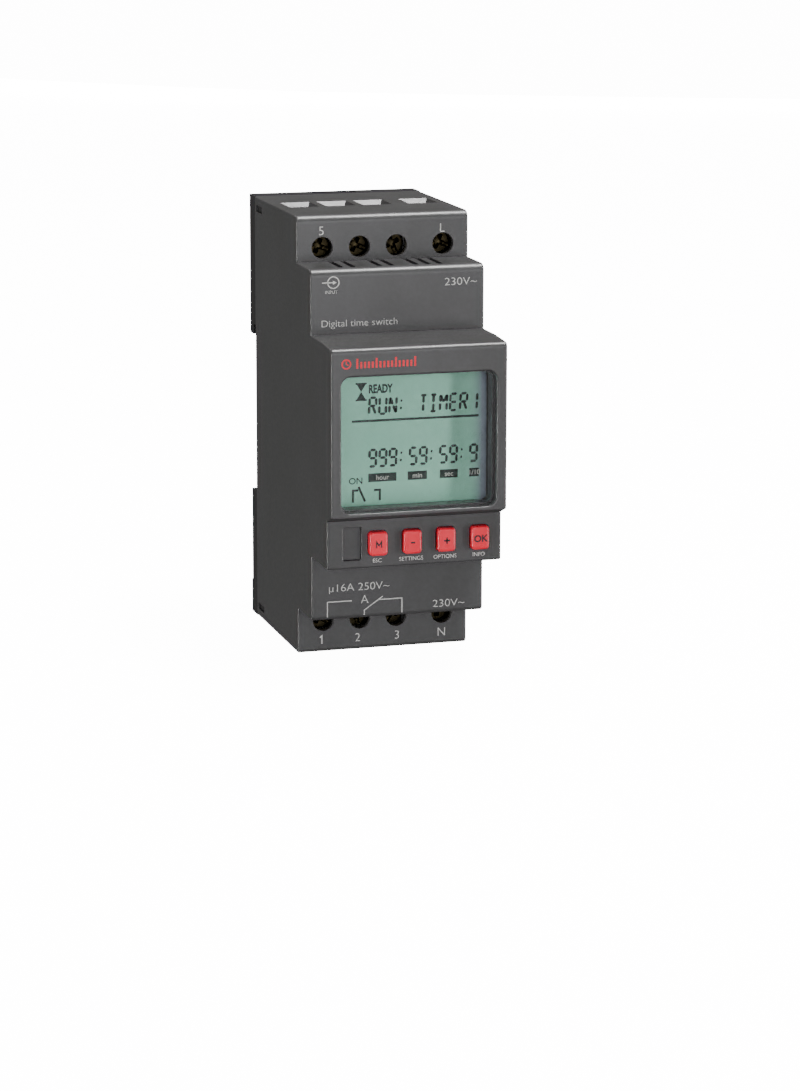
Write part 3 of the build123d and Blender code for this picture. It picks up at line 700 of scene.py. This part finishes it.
# the relay's state: a changeover contact with its blade, and the word over it
thick_line = 0.42 * MM
contact_lines = [
    [(-11.9, -9.7), (-11.9, -7.3), (-10.8, -7.3)],
    [(-9.45, -9.6), (-10.75, -6.6)],
    [(-7.6, -7.4), (-6.4, -7.4), (-6.4, -9.5)],
]
segments += [stroke(np.array(line) * MM, thick_line) for line in contact_lines]
segments.append(words("ON", -12.8 * MM, -6.0 * MM, 1.25 * MM))
segments.append(words("READY", -8.7 * MM, 12.1 * MM, 1.6 * MM, width=4.9 * MM, weight=0.035))

# an hourglass: two triangles that nearly meet at their tips, each with a bar at its wide end
glass_x, glass_z = -10.2 * MM, 12.4 * MM
for sign in (1, -1):
    wide_end = glass_z + sign * 1.5 * MM
    corners = [
        (glass_x, glass_z + sign * 0.03 * MM),
        (glass_x - 0.9 * MM, wide_end),
        (glass_x + 0.9 * MM, wide_end),
    ]
    segments.append((corners, [(0, 1, 2)]))
    bar_ends = sorted((wide_end, wide_end + sign * 0.3 * MM))
    segments.append(patch(glass_x - 1.15 * MM, glass_x + 1.15 * MM, *bar_ends))

# the units under the digits: pale words on dark bars
bars = []
unit_words = []
for low_x, high_x, text in (
    (-8.75, -3.0, "hour"),
    (-0.65, 3.3, "min"),
    (6.0, 9.7, "sec"),
    (12.1, 14.1, "1/10"),
):
    bars.append(patch(low_x * MM, high_x * MM, -5.75 * MM, -4.05 * MM))
    bar_middle = (low_x + high_x) / 2 * MM
    unit_words.append(words(text, bar_middle, -5.36 * MM, 0.95 * MM, "CENTER", weight=0.01))


def printed(name, colour, roughness=0.55):
    """Ink or film: nearly even, with fine breaks in its tone."""
    material, blank = start(name)
    speck = blank.noise(0.08 * MM, 2.0)
    faded = tuple(part * 0.82 for part in colour[:3]) + (1.0,)
    shade = blank.mix(speck.ramp(0.4, 0.75), colour, faded)
    return finish(material, blank, shade, roughness + (speck - 0.5) * 0.1)


segment_film = printed("segment_film", tone(22, 42, 36), 0.5)
film_thickness = 0.03 * MM
for name, shapes, material, ahead in (
    ("lcd_segments", segments, segment_film, 0.02),
    ("lcd_unit_bars", bars, segment_film, 0.02),
    ("lcd_unit_words", unit_words, printed("unit_film", tone(188, 192, 184), 0.4), 0.07),
):
    film = flat_sheet(shapes, crystal_y - ahead * MM, name, material, film_thickness)
    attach(film, "root")


# ------------------------------------------------------------------ keys
# Four caps in glossy red plastic stand proud of the key panel, each over a small switch with a
# pale plunger. Their marks are pad printed in black, with the second function printed below.

cap_plastic = moulded(
    "red_cap", tone(238, 40, 62), tone(226, 30, 52), 0.3, grain=0.6 * MM, depth=0.003 * MM
)
dress([name for name in nodes if name.startswith("button_")], cap_plastic)
plunger_plastic = moulded("plunger_plastic", tone(206, 202, 190), tone(190, 186, 174), 0.4)
dress([name for name in nodes if name.startswith("switch_plunger_")], plunger_plastic)

black_ink = printed("black_ink", tone(44, 14, 18))
pad_print = 0.012 * MM
for key, mark in (("menu", "M"), ("minus", "-"), ("plus", "+"), ("ok", "OK")):
    low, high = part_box(f"button_{key}")
    x, z = (low.x + high.x) / 2, (low.z + high.z) / 2
    if mark == "-":
        shapes = [patch(x - 0.42 * MM, x + 0.42 * MM, z - 0.25 * MM, z + 0.07 * MM)]
    elif mark == "M":
        peaks = [(-0.5, -0.6), (-0.5, 0.6), (0, -0.1), (0.5, 0.6), (0.5, -0.6)]
        shapes = [stroke([(x + u * MM, z + w * MM - 0.15 * MM) for u, w in peaks], 0.29 * MM)]
    elif mark == "+":
        shapes = [
            patch(x - 0.62 * MM, x + 0.62 * MM, z - 0.28 * MM, z + 0.06 * MM),
            patch(x - 0.17 * MM, x + 0.17 * MM, z - 0.73 * MM, z + 0.51 * MM),
        ]
    else:
        shapes = [words(mark, x, z - 0.75 * MM, 1.3 * MM, "CENTER", weight=0.035)]
    legend = flat_sheet(shapes, low.y, f"key_mark_{key}", black_ink, pad_print)
    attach(legend, f"button_{key}")


# ------------------------------------------------------------------ prints on the housing
# Laser marks and one line of red ink on the front faces: terminal numbers, ratings, the contact
# diagram, the words under the keys, and over the window a small clock with a scale of ticks.

nose_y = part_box("front_housing")[0].y
key_y = nose_y + 3.5 * MM
label_y = nose_y + 15.5 * MM
terminal_y = nose_y + 26.5 * MM
mark_ink = printed("grey_mark", tone(196, 196, 192))
red_ink = printed("red_mark", tone(222, 24, 42))
ink_thickness = 0.015 * MM

terminal_marks = []
for text, x, z in (
    ("5", -12.8, 40.95),
    ("L", 12.45, 40.75),
    ("2", -5.35, -43.3),
    ("3", 3.05, -43.3),
    ("N", 12.6, -43.3),
):
    terminal_marks.append(words(text, x * MM, z * MM, 1.75 * MM, "CENTER", weight=-0.012))
one = [(-13.35, -42.0), (-12.95, -41.6), (-12.95, -43.3)]
terminal_marks.append(stroke(np.array(one) * MM, 0.22 * MM))

fine_line = 0.2 * MM
diagram = [
    [(-14.7, -35.0), (-14.7, -31.9), (-9.6, -31.9)],
    [(-7.0, -35.0), (-7.0, -34.0), (-3.1, -31.35)],
    [(-3.9, -32.0), (0.9, -32.0), (0.9, -35.0)],
]
label_marks = [stroke(np.array(line) * MM, fine_line) for line in diagram]
for text, x, z, cap, width in (
    ("µ16A 250V~", -14.6, -29.85, 1.55, 12.6),
    ("A", -7.75, -32.6, 1.7, None),
    ("230V~", 7.3, -34.35, 1.5, 6.7),
    ("230V~", 9.6, 31.45, 1.5, 6.7),
    ("Digital time switch", -15.9, 24.05, 1.35, 15.6),
    ("INPUT", -15.0, 30.7, 0.62, None),
):
    fitted = width * MM if width else None
    label_marks.append(words(text, x * MM, z * MM, cap * MM, width=fitted, weight=-0.012))

# the input's symbol: an arrow into a circle
label_marks.append(ring(-13.3 * MM, 32.9 * MM, 1.25 * MM, 1.05 * MM))
label_marks.append(stroke(np.array([(-15.6, 32.9), (-13.4, 32.9)]) * MM, fine_line))
label_marks.append((np.array([(-13.4, 33.3), (-13.4, 32.5), (-12.6, 32.9)]) * MM, [(0, 1, 2)]))

key_words = []
for key, text in (("menu", "ESC"), ("minus", "SETTINGS"), ("plus", "OPTIONS"), ("ok", "INFO")):
    low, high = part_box(f"button_{key}")
    key_words.append(words(text, (low.x + high.x) / 2, -21.45 * MM, 0.78 * MM, "CENTER"))

# the small clock with its two hands, and the ticks beside it
clock_x, clock_z = -14.9 * MM, 19.1 * MM
hands = [
    (clock_x, clock_z + 0.6 * MM),
    (clock_x, clock_z),
    (clock_x + 0.42 * MM, clock_z - 0.2 * MM),
]
scale_marks = [ring(clock_x, clock_z, 1.0 * MM, 0.72 * MM), stroke(hands, fine_line)]
tick_step = 0.78 * MM
tick_width = 0.4 * MM
tick_foot = clock_z - 0.9 * MM
for tick in range(16):
    x = clock_x + 2.0 * MM + tick * tick_step
    tall = (1.9 if tick % 5 == 0 else 1.25) * MM
    scale_marks.append(patch(x, x + tick_width, tick_foot, tick_foot + tall))

for name, shapes, y, ink in (
    ("terminal_marks", terminal_marks, terminal_y, mark_ink),
    ("label_marks", label_marks, label_y, mark_ink),
    ("key_words", key_words, key_y, mark_ink),
    ("red_scale", scale_marks, nose_y, red_ink),
):
    print_piece = flat_sheet(shapes, y, name, ink, ink_thickness)
    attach(print_piece, "root")


# ------------------------------------------------------------------ stage, lights and camera
# A round white cove lit evenly from within, as a light tent is, so that every side has the same
# pale ground. A soft box and a small bright strip hang nearly overhead and draw light lines along
# the upper edges, as the two rims do on the upright ones. A soft panel fills the front.


def cove(floor_radius, lip, height, floor_z):
    """The cove as its profile turned about Z: flat floor, quarter circle of the lip, and wall.

    Along the profile, the distance from the axis grows to floor_radius, then by lip * sin(a)
    while the height grows by lip * (1 - cos(a)), for a up to a quarter turn.
    """
    angle = np.linspace(0, pi / 2, 20)
    out = np.concatenate(([0.002], floor_radius + lip * np.sin(angle), [floor_radius + lip]))
    up = np.concatenate(([0.0], lip * (1 - np.cos(angle)), [height])) + floor_z
    turn = np.linspace(0, 2 * pi, 64, endpoint=False)[None, :]
    out, up = out[:, None], up[:, None] + 0 * turn
    points = np.stack((out * np.cos(turn), out * np.sin(turn), up), axis=-1).reshape(-1, 3)
    return points, grid_faces(len(out), 64)


material, blank = start("tent_cloth")
fibre = blank.noise(40 * MM, 3.0)
cloth_colour = blank.mix(fibre.ramp(0.3, 0.7), (0.86, 0.86, 0.86, 1), (0.88, 0.88, 0.88, 1))
glow = {"Emission_Color": (1, 1, 1, 1), "Emission_Strength": 14.0}
cloth = finish(material, blank, cloth_colour, 0.9 + (fibre - 0.5) * 0.05, **glow)
points, faces = cove(floor_radius=1.2, lip=0.5, height=2.4, floor_z=cad_low.z)
stage_sheet = mesh_piece("stage_cove", points, faces, cloth)
stage_sheet.visible_glossy = False
stage_sheet.visible_diffuse = False
stage_sheet.visible_shadow = False

world = bpy.data.worlds.new("studio")
world.use_nodes = True
world.node_tree.nodes["Background"].inputs["Color"].default_value = (1.0, 0.98, 0.95, 1)
world.node_tree.nodes["Background"].inputs["Strength"].default_value = 0.12
bpy.context.scene.world = world


def panel(name, place, aim, size, radiance, colour=(1, 1, 1)):
    """A soft rectangular light of even radiance; its power is pi times radiance times area."""
    light = bpy.data.lights.new(name, "AREA")
    light.shape = "RECTANGLE"
    light.size, light.size_y = size
    light.energy = radiance * size[0] * size[1] * pi
    light.color = colour
    lamp = bpy.data.objects.new(name, light)
    lamp.location = place
    lamp.rotation_euler = (Vector(aim) - Vector(place)).to_track_quat("-Z", "Y").to_euler()
    bpy.context.collection.objects.link(lamp)


middle = (cad_low + cad_high) / 2
panel("overhead", (0.1, -0.14, 0.8), middle, (0.9, 0.5), 2.4, (1.0, 0.98, 0.94))
panel("edge_strip", (0.23, -0.136, 0.78), middle, (0.3, 0.2), 48.0)
panel("front_left", (-0.75, -0.9, 0.35), middle, (0.6, 0.7), 1.2, (0.98, 0.98, 1.0))
panel("left_rim", (-0.9, -0.25, -0.13), middle, (0.04, 0.5), 100.0)
panel("front_fill", (0.02, -1.2, 0.12), middle, (0.55, 0.66), 5.5, (0.97, 0.97, 1.0))
panel("back_left", (-0.5, 1.0, 0.9), middle, (0.5, 0.5), 4.0)
panel("back_right", (0.5, 1.1, -0.16), middle, (0.8, 0.34), 15.0)
panel("right_rim", (0.72, -0.6, -0.12), middle, (0.08, 0.5), 44.0)

azimuth, elevation, distance = radians(-15.85), radians(10.56), 0.7022
ahead = Vector((-sin(azimuth) * cos(elevation), cos(azimuth) * cos(elevation), -sin(elevation)))
right = Vector((cos(azimuth), sin(azimuth), 0))
above = right.cross(ahead)
target = middle + right * 0.81 * MM + above * 1.06 * MM
camera_data = bpy.data.cameras.new("camera")
camera_data.sensor_fit = "AUTO"
camera_data.sensor_width = 36.0
camera_data.lens = 112.9
camera_data.shift_x = 0.020165
camera_data.shift_y = -0.113199
camera_data.clip_start = 0.01
camera = bpy.data.objects.new("camera", camera_data)
camera.location = target - ahead * distance
camera.rotation_euler = ahead.to_track_quat("-Z", "Y").to_euler()
bpy.context.collection.objects.link(camera)
bpy.context.scene.camera = camera
